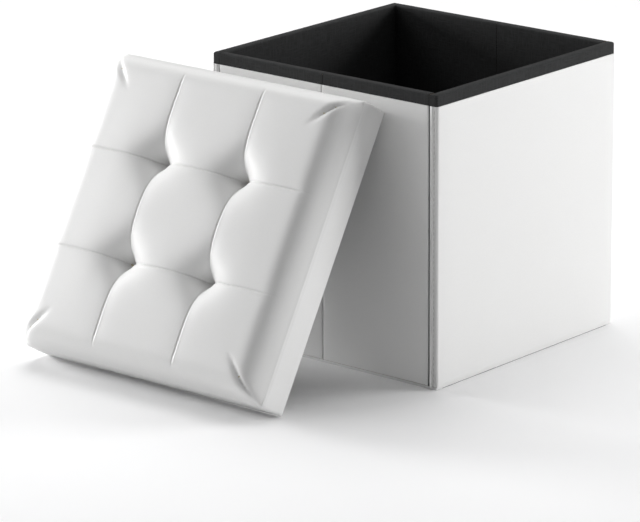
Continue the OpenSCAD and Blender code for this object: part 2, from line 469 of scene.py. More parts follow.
def grain_group():
    """Leather grain: pebbles with creases between them, and fine pores."""
    tree, start, end = shader_group(
        "LeatherGrain",
        [
            ("Place", "NodeSocketVector", None),
            ("Pebble Scale", "NodeSocketFloat", 900.0),
            ("Unevenness", "NodeSocketFloat", 0.4),
        ],
        [("Height", "NodeSocketFloat"), ("Creases", "NodeSocketFloat")],
    )
    link = tree.links.new
    warp = add(tree, "ShaderNodeTexNoise", -700, -200, detail=2.0)
    warp.inputs["Scale"].default_value = 320
    link(start.outputs["Place"], warp.inputs["Vector"])
    bend = tree.nodes.new("ShaderNodeVectorMath")
    bend.operation = "MULTIPLY_ADD"
    bend.inputs[1].default_value = (0.0009, 0.0009, 0.0009)
    link(warp.outputs["Color"], bend.inputs[0])
    link(start.outputs["Place"], bend.inputs[2])
    cells = add(tree, "ShaderNodeTexVoronoi", -300, 100, feature="SMOOTH_F1")
    cells.inputs["Smoothness"].default_value = 0.35
    link(bend.outputs[0], cells.inputs["Vector"])
    link(start.outputs["Pebble Scale"], cells.inputs["Scale"])
    pores = add(tree, "ShaderNodeTexNoise", -300, -250, detail=3.0)
    link(start.outputs["Place"], pores.inputs["Vector"])
    link(maths(tree, "MULTIPLY", start.outputs["Pebble Scale"], 2.3, -500, -350), pores.inputs["Scale"])
    pebble = maths(tree, "SUBTRACT", 1.0, cells.outputs["Distance"], -100, 100)
    fine = maths(tree, "MULTIPLY", pores.outputs["Fac"], start.outputs["Unevenness"], -100, -200)
    link(maths(tree, "ADD", pebble, fine, 200, 0), end.inputs["Height"])
    creases = maths(tree, "MULTIPLY", cells.outputs["Distance"], 1.4, 200, 200, clamp=True)
    link(creases, end.inputs["Creases"])
    return tree


def weave_group():
    """Pressed felt or cloth: two crossed sets of fibres with uneven thickness."""
    tree, start, end = shader_group(
        "ClothWeave",
        [
            ("Place", "NodeSocketVector", None),
            ("Thread Scale", "NodeSocketFloat", 700.0),
            ("Streaks", "NodeSocketFloat", 0.5),
        ],
        [("Height", "NodeSocketFloat"), ("Fibres", "NodeSocketFloat")],
    )
    link = tree.links.new
    strands = []
    for k, stretch in enumerate(((1, 1, 0.12), (0.12, 0.12, 1))):
        scaled = tree.nodes.new("ShaderNodeVectorMath")
        scaled.operation = "MULTIPLY"
        scaled.inputs[1].default_value = stretch
        link(start.outputs["Place"], scaled.inputs[0])
        strand = add(tree, "ShaderNodeTexNoise", -400, 200 - 300 * k, detail=2.5)
        link(scaled.outputs[0], strand.inputs["Vector"])
        link(start.outputs["Thread Scale"], strand.inputs["Scale"])
        strands.append(strand.outputs["Fac"])
    over = maths(tree, "MAXIMUM", strands[0], strands[1], -100, 0)
    speck = add(tree, "ShaderNodeTexNoise", -400, -500, detail=4.0)
    link(start.outputs["Place"], speck.inputs["Vector"])
    link(maths(tree, "MULTIPLY", start.outputs["Thread Scale"], 0.5, -600, -500), speck.inputs["Scale"])
    mixed = maths(tree, "MULTIPLY", speck.outputs["Fac"], start.outputs["Streaks"], -100, -300)
    link(maths(tree, "ADD", over, mixed, 200, 0), end.inputs["Height"])
    link(maths(tree, "MULTIPLY", over, 1.0, 200, -200, clamp=True), end.inputs["Fibres"])
    return tree


def handling_group():
    """Soft patches where a surface has been handled, and where it has faded."""
    tree, start, end = shader_group(
        "Handling",
        [
            ("Place", "NodeSocketVector", None),
            ("Patch Scale", "NodeSocketFloat", 9.0),
            ("Amount", "NodeSocketFloat", 0.05),
            ("Colour", "NodeSocketColor", (0.8, 0.8, 0.8, 1)),
        ],
        [("Colour", "NodeSocketColor"), ("Patches", "NodeSocketFloat")],
    )
    link = tree.links.new
    broad = add(tree, "ShaderNodeTexNoise", -500, 0, detail=3.0)
    link(start.outputs["Place"], broad.inputs["Vector"])
    link(start.outputs["Patch Scale"], broad.inputs["Scale"])
    share = maths(tree, "MULTIPLY", broad.outputs["Fac"], start.outputs["Amount"], -200, 0)
    dull = mix_colour(tree, share, start.outputs["Colour"], (0.62, 0.6, 0.56), 100, 0)
    link(dull, end.inputs["Colour"])
    link(broad.outputs["Fac"], end.inputs["Patches"])
    return tree


def placed_group(tree, name, place, x, y, **values):
    """A shader group in a material, fed with the place and its own values."""
    node = tree.nodes.new("ShaderNodeGroup")
    node.node_tree = bpy.data.node_groups[name]
    node.location = (x, y)
    tree.links.new(place, node.inputs["Place"])
    for key, value in values.items():
        node.inputs[key.replace("_", " ")].default_value = value
    return node


def new_material(name):
    """An empty material with its Principled shader and the object coordinates."""
    material = bpy.data.materials.new(name)
    material.use_nodes = True
    tree = material.node_tree
    shader = tree.nodes["Principled BSDF"]
    place = add(tree, "ShaderNodeTexCoord", -1300, 0).outputs["Object"]
    return material, tree, shader, place


def add_bump(tree, shader, height, strength, distance):
    bump = tree.nodes.new("ShaderNodeBump")
    bump.location = (-250, -300)
    bump.inputs["Strength"].default_value = strength
    bump.inputs["Distance"].default_value = distance
    tree.links.new(height, bump.inputs["Height"])
    tree.links.new(bump.outputs["Normal"], shader.inputs["Normal"])


def range_of(tree, value, low, high, x, y):
    """Spread a 0 to 1 value between two limits."""
    node = tree.nodes.new("ShaderNodeMapRange")
    node.location = (x, y)
    node.inputs["To Min"].default_value = low
    node.inputs["To Max"].default_value = high
    tree.links.new(value, node.inputs["Value"])
    return node.outputs["Result"]


def handled(tree, place, scale, amount, colour):
    """A colour with soft patches, from the Handling group."""
    return placed_group(
        tree, "Handling", place, -1000, 200, Patch_Scale=scale, Amount=amount, Colour=(*colour, 1)
    )


def finish_shader(tree, shader, colour, **values):
    """Link the base colour and set the shader's constant values."""
    tree.links.new(colour, shader.inputs["Base Color"])
    for key, value in values.items():
        shader.inputs[key.replace("_", " ")].default_value = value


def leather_material(name):
    """White coated leather: pebble grain, faint patches, and a soft sheen."""
    look = settings("leather")
    material, tree, shader, place = new_material(name)
    grain = placed_group(
        tree, "LeatherGrain", place, -1000, -200, Pebble_Scale=1 / look.grain, Unevenness=0.35
    )
    patches = handled(tree, place, 11.0, 0.06, look.colour)
    darker = mix_colour(
        tree, maths(tree, "MULTIPLY", grain.outputs["Creases"], 0.05, -700, 0),
        patches.outputs["Colour"], (0.45, 0.44, 0.43), -450, 200,
    )
    dull = maths(
        tree, "MULTIPLY_ADD", grain.outputs["Creases"], 0.16, -450, -50,
    )
    dull.node.inputs[2].default_value = look.roughness - 0.05
    tree.links.new(dull, shader.inputs["Roughness"])
    finish_shader(tree, shader, darker, Specular_IOR_Level=0.4, Coat_Weight=0.06, Coat_Roughness=0.35)
    add_bump(tree, shader, grain.outputs["Height"], 0.16, 0.00022)
    return material


def cloth_material(name, colour, threads, lift, sheen=0.25):
    """Felt or woven cloth with crossed fibres."""
    material, tree, shader, place = new_material(name)
    weave = placed_group(
        tree, "ClothWeave", place, -1000, -200, Thread_Scale=threads, Streaks=0.6
    )
    patches = handled(tree, place, 14.0, 0.02, colour)
    light = tuple(min(1, c * lift + 0.006) for c in colour)
    fibre = range_of(tree, weave.outputs["Fibres"], -1.2, 2.0, -700, 0)
    fibre.node.clamp = True
    shown = mix_colour(tree, fibre, patches.outputs["Colour"], light, -450, 150)
    finish_shader(
        tree, shader, shown,
        Roughness=0.92, Specular_IOR_Level=0.08, Sheen_Weight=sheen, Sheen_Roughness=0.5,
    )
    add_bump(tree, shader, weave.outputs["Height"], 0.6, 0.0005)
    return material


def board_material(name):
    """Fibreboard: fine pressed fibres in warm browns."""
    material, tree, shader, place = new_material(name)
    patches = handled(tree, place, 60.0, 0.35, (0.42, 0.29, 0.18))
    weave = placed_group(
        tree, "ClothWeave", place, -1000, -200, Thread_Scale=900.0, Streaks=0.8
    )
    shown = mix_colour(
        tree, weave.outputs["Fibres"], patches.outputs["Colour"], (0.3, 0.2, 0.12), -450, 150
    )
    finish_shader(tree, shader, shown, Roughness=0.8)
    add_bump(tree, shader, weave.outputs["Height"], 0.3, 0.0002)
    return material


def foam_material(name):
    """Cream foam with small open cells."""
    material, tree, shader, place = new_material(name)
    grain = placed_group(tree, "LeatherGrain", place, -1000, -200, Pebble_Scale=700.0, Unevenness=0.6)
    patches = handled(tree, place, 20.0, 0.2, (0.85, 0.78, 0.52))
    shown = mix_colour(
        tree, grain.outputs["Creases"], patches.outputs["Colour"], (0.5, 0.42, 0.24), -450, 150
    )
    finish_shader(tree, shader, shown, Roughness=0.95)
    add_bump(tree, shader, grain.outputs["Height"], 0.8, 0.0006)
    return material


def thread_material(name, colour):
    """Twisted thread: slanting strands round the length."""
    material, tree, shader, place = new_material(name)
    strands = add(tree, "ShaderNodeTexWave", -900, -200, wave_type="BANDS", bands_direction="DIAGONAL")
    strands.inputs["Scale"].default_value = 900
    strands.inputs["Distortion"].default_value = 0.4
    tree.links.new(place, strands.inputs["Vector"])
    patches = handled(tree, place, 80.0, 0.12, colour)
    dark = tuple(c * 0.7 for c in colour)
    shown = mix_colour(tree, strands.outputs["Fac"], dark, patches.outputs["Colour"], -450, 150)
    finish_shader(tree, shader, shown, Roughness=0.7, Sheen_Weight=0.2)
    add_bump(tree, shader, strands.outputs["Fac"], 0.5, 0.0001)
    return material


def steel_material(name):
    """Drawn wire with fine scratches."""
    material, tree, shader, place = new_material(name)
    patches = handled(tree, place, 300.0, 0.3, (0.62, 0.62, 0.64))
    tree.links.new(patches.outputs["Colour"], shader.inputs["Base Color"])
    shader.inputs["Metallic"].default_value = 1.0
    dull = range_of(tree, patches.outputs["Patches"], 0.25, 0.5, -450, -50)
    tree.links.new(dull, shader.inputs["Roughness"])
    return material


MATERIALS = {}


def material(name):
    """A finish by its name, made the first time that it is needed."""
    if not MATERIALS:
        grain_group()
        weave_group()
        handling_group()
        felt = tuple(settings("felt").colour)
        MATERIALS.update(
            leather=leather_material("White_leather"),
            felt=cloth_material("Black_felt", felt, 620.0, 1.5, sheen=0.0),
            tape=cloth_material("Hinge_tape", (0.02, 0.02, 0.021), 1500.0, 2.0),
            board=board_material("Fibreboard"),
            foam=foam_material("Foam"),
            thread=thread_material("White_thread", (0.8, 0.8, 0.79)),
            steel=steel_material("Staple_steel"),
        )
    return MATERIALS[name]


# ---- Walls -------------------------------------------------------------------------


def swell_panel(piece, low, high, seed, share=1.0):
    """Sculpt a wall's leather: it swells in its middle and has faint uneven tension. The folding
    halves take a smaller share of it, because their leathers lie face to face when folded."""
    padding = settings("leather").padding

    def rule(p):
        near = np.minimum.reduce(
            [p[:, 0] - low[0], high[0] - p[:, 0], p[:, 2] - low[1], high[1] - p[:, 2]]
        )
        front = ramp((0.6 * LEATHER_T - p[:, 1]) / (0.6 * LEATHER_T))
        lift = ramp(near / (16 * MM)) * front
        uneven = waves(p[:, 0], p[:, 2], seed, 130 * MM) * 0.12 * MM
        p[:, 1] -= share * lift * (padding + uneven)
        return p

    move_points(piece, rule)


def leaf_leather(name, seed):
    """Leather of one folding half: a padded sheet with rounded edges."""
    piece = new_upright_grid(name, (0, 0, WALL_Z), (LEAF_LEN, 0, LEATHER_TOP), 40, 84)
    pick_all(piece, "FACE")
    bpy.ops.mesh.extrude_region_move(TRANSFORM_OT_translate={"value": (0, LEATHER_T, 0)})
    leave_edit()
    outward(piece)
    bevel(
        piece,
        lambda co, d: co.y < 0.1 * MM
        and (min(co.x, LEAF_LEN - co.x) < 0.1 * MM or min(co.z - WALL_Z, LEATHER_TOP - co.z) < 0.1 * MM),
        1.3 * MM,
        4,
    )
    swell_panel(piece, (0, WALL_Z), (LEAF_LEN, LEATHER_TOP), seed, share=0.35)
    smooth(piece, 50)
    return piece


def rigid_leather(name, seed):
    """Leather of a rigid wall: the sheet runs round both upright corners, past the stitched
    strip, into a rolled ridge and the fold."""
    start = 4.6 * MM
    piece = new_upright_grid(
        name, (start, 0, WALL_Z), (BOX_W - start, 0, LEATHER_TOP), 72, 84
    )
    outline = [(start, 0)]
    for k in range(1, 7):
        turn = math.radians(90 * k / 6)
        outline.append(
            (start - 4.0 * MM * math.sin(turn), 4.0 * MM * (1 - math.cos(turn)))
        )
    outline += [
        (x * MM, y * MM)
        for x, y in (
            (1.15, 4.2), (1.2, 5.4), (0.7, 5.8), (-0.1, 6.4), (-0.4, 7.3), (-0.2, 8.3),
            (0.1, 9.2), (0.5, 10.0), (1.1, 11.0), (1.6, 12.0), (1.9, 12.7),
        )
    ]
    steps = [(b[0] - a[0], b[1] - a[1], 0) for a, b in zip(outline, outline[1:])]
    draw_edge_along(piece, lambda co, d: abs(co.x - start) < 0.1 * MM and abs(d.z) > 0.9, steps)
    draw_edge_along(
        piece,
        lambda co, d: abs(co.x - BOX_W + start) < 0.1 * MM and abs(d.z) > 0.9,
        [(-x, y, 0) for x, y, _ in steps],
    )
    outward_sheet(piece, Vector((BOX_W / 2, WALL_T, 0.17)))
    swell_panel(piece, (start, WALL_Z), (BOX_W - start, LEATHER_TOP), seed)
    thicken(piece, 1.3 * MM)
    sharp = math.radians(60)
    use_modifier(piece, "BEVEL", width=0.5 * MM, segments=2, limit_method="ANGLE", angle_limit=sharp)
    smooth(piece, 50)
    return piece


def outward_sheet(piece, inside):
    """Turn an open sheet's faces away from a point inside it."""
    outward(piece)
    mesh = piece.data
    facing = sum(f.area * f.normal.dot(f.center - inside) for f in mesh.polygons)
    if facing < 0:
        pick_all(piece, "FACE")
        bpy.ops.mesh.flip_normals()
        leave_edit()


def rim_lining(name, length, rigid, seed):
    """Felt of one wall: it comes up the inside, turns over the rim and ends as the outside band."""
    low_x, high_x = (LAP, length - LAP) if rigid else (0, length)
    piece = new_block(name, (low_x, LAP, LEATHER_TOP), (high_x, WALL_T, RIM_Z))
    remove_faces(
        piece, lambda co, normal: normal.z < -0.5 or (not rigid and abs(normal.x) > 0.5)
    )
    if rigid:
        bevel(
            piece,
            lambda co, d: abs(d.z) > 0.9 and co.y < LAP + 0.1 * MM,
            BOARD_R + FELT_T,
            6,
        )
    radius = settings("felt").rim_radius
    bevel(
        piece,
        lambda co, d: co.z > RIM_Z - 0.1 * MM and (abs(d.z) < 0.1) and (rigid or abs(d.x) > 0.9),
        radius,
        5,
    )
    depth = LEATHER_TOP - WALL_Z
    draw_edge_along(
        piece,
        lambda co, d: co.z < LEATHER_TOP + 0.1 * MM and co.y > WALL_T - 0.1 * MM and abs(d.x) > 0.9,
        [(0, 0, -depth / 24)] * 24,
    )
    for k in range(1, 20):
        cut(piece, 0, length * k / 20)
    outward_sheet(piece, Vector((length / 2, WALL_T / 2, 0.9 * RIM_Z)))

    def rule(p):
        inner = ramp((p[:, 1] - (WALL_T - 0.4 * MM)) / (0.3 * MM))
        inner *= ramp((RIM_Z - 8 * MM - p[:, 2]) / (30 * MM))
        ends = ramp((p[:, 0] - low_x) / (12 * MM)) * ramp((high_x - p[:, 0]) / (12 * MM))
        p[:, 1] += inner * ends * (0.12 + 0.12 * waves(p[:, 0], p[:, 2], seed, 90 * MM)) * MM
        return p

    move_points(piece, rule)
    thicken(piece, 0.9 * FELT_T)
    smooth(piece, 50)
    return piece


def stitch_rows(node):
    """Lower and upper end of every stitch in a row, from the CAD node's own points."""
    levels = sorted({round(v.co.z, 5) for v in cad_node(node).data.vertices})
    return list(zip(levels[::2], levels[1::2]))


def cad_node(name):
    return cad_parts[name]


def wall_stitches(name, node):
    """Two rows of thread ends, each one a short plump stitch sunk at both ends."""
    leave_edit()
    first, last = stitch_rows(node)[0]
    bpy.ops.mesh.primitive_uv_sphere_add(segments=8, ring_count=6, radius=1)
    stitch = named(name + "_one")
    half_len = (last - first) / 2

    def rule(p):
        sunk = p[:, 0] * 0.42 * MM - 0.25 * MM * p[:, 2] ** 2
        return np.column_stack([sunk, p[:, 1] * 0.4 * MM, p[:, 2] * half_len])

    move_points(stitch, rule)
    flipped = Matrix.Diagonal((-1, 1, 1, 1))
    copies = []
    for low, high in stitch_rows(node):
        z = (low + high) / 2
        copies.append(copy_of(stitch, Matrix.Translation((0.75 * MM, 5.0 * MM, z)) @ flipped))
        copies[-1].data.flip_normals()
        copies.append(copy_of(stitch, Matrix.Translation((BOX_W - 0.75 * MM, 5.0 * MM, z))))
    bpy.data.objects.remove(stitch)
    piece = join(name, copies)
    smooth(piece, 80)
    return piece


def fold_strip(name, place, x, across=9 * MM):
    """The leather that carries on behind the gap of a fold, laid flat in the leaf's place."""
    piece = new_upright_grid(
        name, (x - across / 2, LEATHER_T - 0.35 * MM, WALL_Z + 1 * MM),
        (x + across / 2, LEATHER_T - 0.35 * MM, LEATHER_TOP - 1 * MM), 14, 20,
    )
    thicken(piece, 0.3 * MM)
    smooth(piece, 50)
    put(piece, place, None, "leather")
    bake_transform(piece)
    return piece


class OTTOMAN_OT_rigid_walls(bpy.types.Operator):
    """Model the leather, felt and stitches of the front and back walls"""

    bl_idname = "ottoman.rigid_walls"
    bl_label = "Front and Back Walls"

    def execute(self, context):
        for k, (body, place) in enumerate(RIGID.items()):
            cover = rigid_leather(body + "_leather", 3 + k)
            put(cover, place, body, "leather", body + "_cover")
            felt = rim_lining(body + "_felt", BOX_W, True, 11 + k)
            put(felt, place, body, "felt", body + "_lining")
            thread = wall_stitches(body + "_thread", body + "_stitches")
            put(thread, place, body, "thread", body + "_stitches")
        return {"FINISHED"}


class OTTOMAN_OT_folding_sides(bpy.types.Operator):
    """Model the leather and felt of the four folding halves"""

    bl_idname = "ottoman.folding_sides"
    bl_label = "Folding Sides"

    def execute(self, context):
        for k, (body, place) in enumerate(LEAVES.items()):
            cover = leaf_leather(body + "_leather", 21 + k)
            put(cover, place, body, "leather", body + "_cover")
            felt = rim_lining(body + "_felt", LEAF_LEN, False, 31 + k)
            put(felt, place, body, "felt", body + "_lining")
        return {"FINISHED"}


# ---- Base --------------------------------------------------------------------------


class OTTOMAN_OT_base(bpy.types.Operator):
    """Model the base's cover, its cloth and the hinge tape"""

    bl_idname = "ottoman.base"
    bl_label = "Base"

    def execute(self, context):
        low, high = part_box("base_cover")
        shell = new_block("base_sheet", low, high)
        remove_faces(shell, lambda co, normal: normal.z > 0.5)
        bevel(shell, lambda co, d: abs(d.z) > 0.9, 2 * MM, 4)
        bevel(shell, lambda co, d: co.z < 0.1 * MM, 0.8 * MM, 3)
        outward_sheet(shell, Vector((0, 0, 2 * MM)))
        thicken(shell, 0.5 * MM)
        smooth(shell, 50)
        put(shell, Matrix(), "base", "leather", "base_cover")

        low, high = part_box("base_lining")
        leave_edit()
        top = (0, 0, high.z)
        bpy.ops.mesh.primitive_grid_add(x_subdivisions=48, y_subdivisions=48, size=1, location=top)
        bpy.context.object.scale = (high.x - low.x, high.y - low.y, 1)
        cloth = named("base_cloth")

        def rule(p):
            near = np.minimum(high.x - abs(p[:, 0]), high.y - abs(p[:, 1]))
            p[:, 2] += ramp(near / (20 * MM)) * (0.2 + 0.2 * waves(p[:, 0], p[:, 1], 5, 120 * MM)) * MM
            p[:, 2] -= 0.15 * MM * (1 - ramp(near / (2 * MM)))
            return p

        move_points(cloth, rule)
        thicken(cloth, 0.4 * MM)
        smooth(cloth, 50)
        put(cloth, Matrix(), "base", "felt", "base_lining")

        low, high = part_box("base_hinge_tape")
        tape = new_block("hinge_tape", low, high)
        pick_all(tape, "FACE")
        bpy.ops.mesh.subdivide(number_cuts=6)
        leave_edit()
        move_points(
            tape,
            lambda p: p + np.column_stack(
                [0 * p[:, 0], 0 * p[:, 0], 0.03 * MM * np.cos(p[:, 0] * 900) * (p[:, 2] > 0.2 * MM)]
            ),
        )
        smooth(tape, 50)
        put(tape, Matrix(), "base", "tape", "base_hinge_tape")
        return {"FINISHED"}


# ---- Lid ---------------------------------------------------------------------------


def seam_rows():
    """Places of the grid lines across the lid: close together at the seams and edges."""
    half = LID_W / 2
    places = np.linspace(-half, half, 121)
    near = np.array([0.5, 1.0, 1.5, 2.2, 3.0, 4.2, 5.6, 7.2]) * MM
    for seam in (-CELL / 2, CELL / 2):
        gone = abs(places - seam) < 8.2 * MM
        places = np.concatenate([places[~gone], seam - near, [seam], seam + near])
    edge = np.array([0.6, 1.3, 2.1, 3.1]) * MM
    places = np.concatenate([places, half - edge, -half + edge])
    places = np.unique(np.round(places, 6))
    return places[np.concatenate([[True], np.diff(places) > 0.25 * MM])]


def quilt_height(x, y):
    """Height of the quilted top over its seam line."""
    look = settings("lid")
    half = LID_W / 2
    inset = [half - abs(x), half - abs(y)]
    rise = [1 - (1 - np.clip(d / look.shoulder, 0.004, 1)) ** 3.0 for d in inset]
    edge = (rise[0] ** -5 + rise[1] ** -5) ** -0.2 * 2**0.2
    height = look.crown * np.minimum(edge, 1.08)
    nearest = np.minimum(inset[0], inset[1])
    height += 2.0 * MM * ramp(inset[0] / (90 * MM)) * ramp(inset[1] / (90 * MM))
    # Each tuft pulls the top down in a rounded funnel
    for tuft_x, tuft_y in TUFTS:
        far = np.hypot(x - tuft_x, y - tuft_y)
        height -= 0.45 * look.tuft_depth * np.exp(-((far / (18 * MM)) ** 1.2))
    # The seams run from tuft to tuft and out towards the edges, deepest at the tufts
    fade = ramp((nearest - 9 * MM) / (30 * MM))
    for mine, other in ((x, y), (y, x)):
        along = np.minimum(abs(other - CELL / 2), abs(other + CELL / 2))
        depth = 0.9 * MM + 0.275 * look.tuft_depth * np.exp(-((along / (27 * MM)) ** 1.5))
        for a in (-1, 1):
            off = mine - a * CELL / 2
            height -= fade * depth * np.exp(-((abs(off) / (9.5 * MM)) ** 1.25))
            height -= fade * 0.9 * MM * np.exp(-((off / (1.1 * MM)) ** 2))
            height += fade * 0.35 * MM * np.exp(-(((off + 2.6 * MM) / (1.2 * MM)) ** 2))
    # A crease runs in from each corner
    off = abs(inset[0] - inset[1])
    far = np.maximum(inset[0], inset[1])
    length = ramp(far / (6 * MM)) * ramp((52 * MM - far) / (30 * MM))
    height -= 3.6 * MM * np.exp(-((off / (4.5 * MM)) ** 1.5)) * length
    height -= 1.6 * MM * np.exp(-((off / (1.5 * MM)) ** 2)) * length
    # The leather rolls in to its seam
    height -= 3.4 * MM * (1 - ramp(nearest / (7 * MM)))
    return height


def round_corners(p, half, radius):
    """Pull the corners of a square sheet in to a round."""
    flat = abs(p[:, :2]) - (half - radius)
    beyond = (flat > 0).all(axis=1)
    length = np.hypot(flat[:, 0], flat[:, 1])
    beyond &= length > radius
    pulled = np.sign(p[:, :2]) * (half - radius + flat * (radius / np.maximum(length, 1e-9))[:, None])
    p[beyond, :2] = pulled[beyond]
    return p


def lid_quilt(name):
    """The tufted top: one sheet of leather over the pillows, turned in at its seam."""
    places = seam_rows()
    count = len(places) - 1
    leave_edit()
    bpy.ops.mesh.primitive_grid_add(x_subdivisions=count, y_subdivisions=count, size=2)
    piece = named(name)
    half = LID_W / 2

    def rule(p):
        index = np.round((p[:, :2] + 1) / 2 * count).astype(int)
        x, y = places[index[:, 0]], places[index[:, 1]]
        z = LID_SIDE + quilt_height(x, y)
        return round_corners(np.column_stack([x, y, z]), half, settings("lid").corner_radius)

    move_points(piece, rule)
    draw_edge_loop_in(piece)
    thicken(piece, 0.9 * MM)
    smooth(piece, 70)
    return piece


def draw_edge_loop_in(piece):
    """Turn the open edge of the quilt down and in, where it is sewn to the side band."""
    pick_all(piece, "VERT")
    bpy.ops.mesh.select_mode(type="EDGE")
    bpy.ops.mesh.select_all(action="DESELECT")
    bpy.ops.mesh.select_non_manifold(extend=False)
    for down, scale in ((0.5 * MM, 0.9985), (0.6 * MM, 0.996)):
        bpy.ops.mesh.extrude_edges_move(TRANSFORM_OT_translate={"value": (0, 0, -down)})
        bpy.ops.transform.resize(value=(scale, scale, 1), center_override=(0, 0, LID_SIDE))
    leave_edit()


def lid_band(name):
    """The side band: slightly full, with a hem turned in under the skirt."""
    half = LID_W / 2
    top = LID_SIDE - 0.5 * MM
    piece = new_block(name, (-half, -half, 0), (half, half, top))
    remove_faces(piece, lambda co, normal: abs(normal.z) > 0.5)
    bevel(piece, lambda co, d: abs(d.z) > 0.9, settings("lid").corner_radius, 6)
    for k in range(1, 12):
        cut(piece, 2, top * k / 12)
    for axis in (0, 1):
        for k in range(1, 32):
            cut(piece, axis, -half + LID_W * k / 32)

    def rule(p):
        full = np.sin(np.clip(p[:, 2] / top, 0, 1) * math.pi)
        tuck = ramp((p[:, 2] - (top - 2.5 * MM)) / (2.5 * MM))
        side = waves(p[:, 0] + p[:, 1], p[:, 2], 8, 150 * MM)
        scale = 1 + ((0.45 + 0.12 * side) * full - 0.9 * tuck) * MM / half
        p[:, 0] *= scale
        p[:, 1] *= scale
        return p

    move_points(piece, rule)
    pick(piece, "EDGE", lambda co, d: co.z < 0.1 * MM)
    inner = (TRAY_W / 2 + 0.9 * MM) / half
    bpy.ops.mesh.extrude_edges_move(TRANSFORM_OT_translate={"value": (0, 0, 0)})
    bpy.ops.transform.resize(value=(inner, inner, 1), center_override=(0, 0, 0))
    leave_edit()
    outward_sheet(piece, Vector((0, 0, top / 2)))
    rim = half - 0.5 * MM
    bevel(piece, lambda co, d: co.z < 0.05 * MM and max(abs(co.x), abs(co.y)) > rim, 1.2 * MM, 3)
    thicken(piece, 1.0 * MM)
    smooth(piece, 50)
    return piece


def tray_felt(name):
    """Felt inside the lid's skirt: a shallow tray with a faint uneven swell on its top."""
    half = TRAY_W / 2
    piece = new_block(name, (-half, -half, 0), (half, half, TRAY_H + 0.15 * MM))
    remove_faces(piece, lambda co, normal: normal.z < -0.5)
    bevel(piece, lambda co, d: abs(d.z) > 0.9, 2 * MM, 4)
    bevel(piece, lambda co, d: co.z > TRAY_H, 1.5 * MM, 3)
    for axis in (0, 1):
        for k in range(1, 36):
            cut(piece, axis, -half + TRAY_W * k / 36)

    def rule(p):
        flat = ramp((p[:, 2] - TRAY_H + 0.5 * MM) / (0.5 * MM))
        p[:, 2] += flat * 0.06 * MM * waves(p[:, 0], p[:, 1], 9, 80 * MM)
        return p

    move_points(piece, rule)
    draw_edge_along(
        piece, lambda co, d: co.z < 0.05 * MM, [(0, 0, -0.0001)]
    )
    outward_sheet(piece, Vector((0, 0, 0.3 * TRAY_H)))
    thicken(piece, -0.6 * MM)
    outward(piece)
    smooth(piece, 50)
    return piece


def lid_padding(name):
    """The foam under the leather, with the same pillows and tufts."""
    leave_edit()
    bpy.ops.mesh.primitive_grid_add(x_subdivisions=72, y_subdivisions=72, size=1)
    piece = named(name)
    half = LID_W / 2

    def rule(p):
        width = LID_W - 3.2 * MM
        x, y = p[:, 0] * width, p[:, 1] * width
        inner = width / LID_W
        z = LID_SIDE - 1.7 * MM + quilt_height(x / inner, y / inner)
        return round_corners(np.column_stack([x, y, z]), half - 1.6 * MM, 2.4 * MM)

    move_points(piece, rule)
    pick_all(piece, "FACE")
    bpy.ops.mesh.extrude_region_move(TRANSFORM_OT_translate={"value": (0, 0, -0.1)})
    leave_edit()
    floor = FOAM_Z + 0.1 * MM
    move_points(piece, lambda p: np.column_stack([p[:, 0], p[:, 1], np.maximum(p[:, 2], floor)]))
    outward(piece)
    smooth(piece, 50)
    return piece


def twine_knot(name, centre):
    """A tight knot of twine: one strand that goes three times round and through itself."""
    leave_edit()
    bpy.ops.curve.primitive_nurbs_path_add()
    knot = bpy.context.object
    spline = knot.data.splines[0]
    count = 48
    spline.points.add(count - len(spline.points))
    for k, point in enumerate(spline.points):
        t = math.tau * k / count
        reach = (1.25 + 0.55 * math.cos(3 * t)) * MM
        point.co = (reach * math.cos(2 * t), reach * math.sin(2 * t), 1.1 * math.sin(3 * t) * MM, 1)
    spline.use_cyclic_u = True
    spline.resolution_u = 3
    knot.data.bevel_depth = 0.8 * MM
    knot.data.bevel_resolution = 2
    bpy.ops.object.convert(target="MESH")
    piece = named(name)
    piece.data.transform(Matrix.Translation(centre))
    outward(piece)
    smooth(piece, 80)
    return piece


class OTTOMAN_OT_lid(bpy.types.Operator):
    """Model the lid's quilted top, side band, padding and felt"""

    bl_idname = "ottoman.lid"
    bl_label = "Lid"

    def execute(self, context):
        quilt = put(lid_quilt("lid_quilt"), ON_LID, "lid", "leather", "lid_cover")
        put(lid_band("lid_band"), ON_LID, "lid", "leather", "lid_border")
        foam = put(lid_padding("lid_padding"), ON_LID, "lid", "foam", "lid_foam")
        put(tray_felt("lid_felt"), ON_LID, "lid", "felt", "lid_lining")
        return {"FINISHED"}


class OTTOMAN_OT_knots(bpy.types.Operator):
    """Tie the knots of the tufting twine under the lid"""

    bl_idname = "ottoman.knots"
    bl_label = "Knots"

    def execute(self, context):
        back = ON_LID.inverted()
        low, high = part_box("lid_swing_knot")
        swing = back @ ((low + high) / 2)
        knot = twine_knot("swing_knot_twine", swing)
        put(knot, ON_LID, "swing_knot", "thread", "lid_swing_knot")
        others = [twine_knot("knot", Vector((x, y, TRAY_H - 2.9 * MM))) for x, y in TUFTS[1:]]
        put(join("tuft_knot_twine", others), ON_LID, "lid", "thread", "lid_tuft_knots")
        return {"FINISHED"}


class OTTOMAN_OT_folds(bpy.types.Operator):
    """Lay a flat strip of leather behind the middle fold of each folding side"""

    bl_idname = "ottoman.folds"
    bl_label = "Folds"

    def execute(self, context):
        middle = LEAF_LEN + FOLD_GAP / 2
        for side, first, last in (("left", "back", "front"), ("right", "front", "back")):
            one, other = f"{side}_{first}_leaf", f"{side}_{last}_leaf"
            fold_strip(f"{side}_middle_fold_strip", LEAVES[one], middle)
        return {"FINISHED"}


